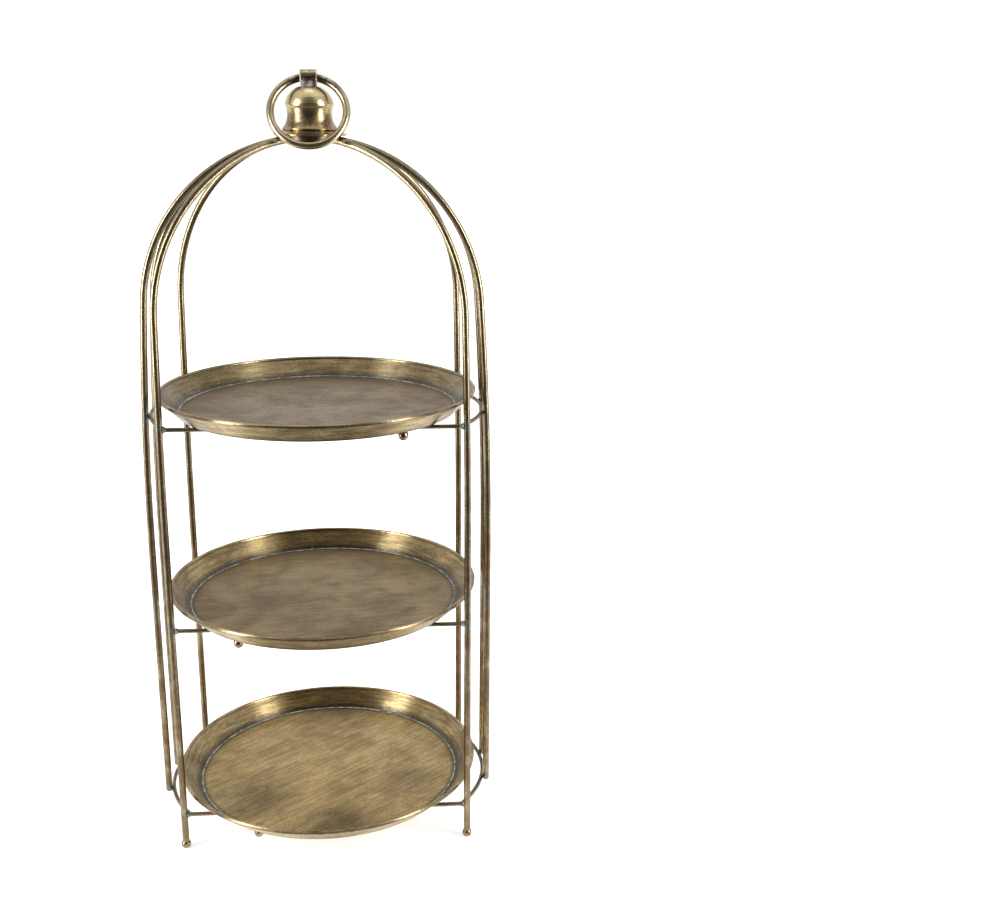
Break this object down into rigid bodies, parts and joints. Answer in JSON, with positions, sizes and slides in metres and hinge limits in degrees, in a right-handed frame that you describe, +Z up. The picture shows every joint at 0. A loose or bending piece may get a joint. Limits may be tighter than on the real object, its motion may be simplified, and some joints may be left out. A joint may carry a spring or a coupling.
{
  "type": "etagere",
  "caption": "Free-standing tiered tray stand: a cage of bent brass rods under a bell finial with a carrying ring, holding loose round trays on cross bars.",
  "frame": {"origin": "on the floor, on the axis through the finial and the tray centres", "axes": "+Z up, -Y towards the front, +X to the viewer's right"},
  "size_m": [0.3284, 0.3, 0.7342],
  "materials": {
    "rod_brass": "antiqued, satin with brown patina",
    "wire_brass": "antiqued, darker and greyer at the brazed joints",
    "foot_brass": "antiqued, satin",
    "tray_wall_brass": "antiqued, brushed round the tray, brighter at the rim",
    "tray_floor_brass": "antiqued, brushed, brown patina in clouds",
    "bell_brass": "antiqued, turned, brighter on the dome",
    "strap_brass": "antiqued, blue-green at the brazing",
    "ring_brass": "antiqued, polished by handling",
    "fixing_brass": "plain, dull"
  },
  "bodies": {
    "frame": {"leg_front_left": "rod_brass", "leg_front_right": "rod_brass", "leg_rear_left": "rod_brass", "leg_rear_right": "rod_brass", "side_rod_front_left": "rod_brass", "side_rod_front_right": "rod_brass", "side_rod_rear_left": "rod_brass", "side_rod_rear_right": "rod_brass", "foot_front_left": "foot_brass", "foot_front_right": "foot_brass", "foot_rear_left": "foot_brass", "foot_rear_right": "foot_brass", "base_bar_front": "wire_brass", "base_bar_rear": "wire_brass", "middle_bar_front": "wire_brass", "middle_bar_rear": "wire_brass", "top_bar_front": "wire_brass", "top_bar_rear": "wire_brass", "base_wire_left": "wire_brass", "base_wire_right": "wire_brass", "top_wire_left": "wire_brass", "top_wire_right": "wire_brass", "hub": "rod_brass", "bell": "bell_brass", "bell_base": "bell_brass", "bell_stud": "fixing_brass", "bell_nut": "fixing_brass", "strap": "strap_brass", "strap_saddle": "strap_brass"},
    "handle": {"handle_ring": "ring_brass"},
    "base_tray": {"base_tray_wall": "tray_wall_brass", "base_tray_floor": "tray_floor_brass", "base_tray_feet": "foot_brass"},
    "middle_tray": {"middle_tray_wall": "tray_wall_brass", "middle_tray_floor": "tray_floor_brass", "middle_tray_feet": "foot_brass"},
    "top_tray": {"top_tray_wall": "tray_wall_brass", "top_tray_floor": "tray_floor_brass", "top_tray_feet": "foot_brass"}
  },
  "joints": [
    {"name": "ring_swing", "type": "hinge", "parent": "frame", "child": "handle", "pos_m": [0, 0, 0.72762], "axis": [-1, 0, 0], "range_deg": [0, 300.5]},
    {"name": "base_tray_lift", "type": "slide", "parent": "frame", "child": "base_tray", "axis": [0, 0, 1], "range_m": [0, 0.06]},
    {"name": "middle_tray_lift", "type": "slide", "parent": "frame", "child": "middle_tray", "axis": [0, 0, 1], "range_m": [0, 0.06]},
    {"name": "top_tray_lift", "type": "slide", "parent": "frame", "child": "top_tray", "axis": [0, 0, 1], "range_m": [0, 0.06]}
  ]
}
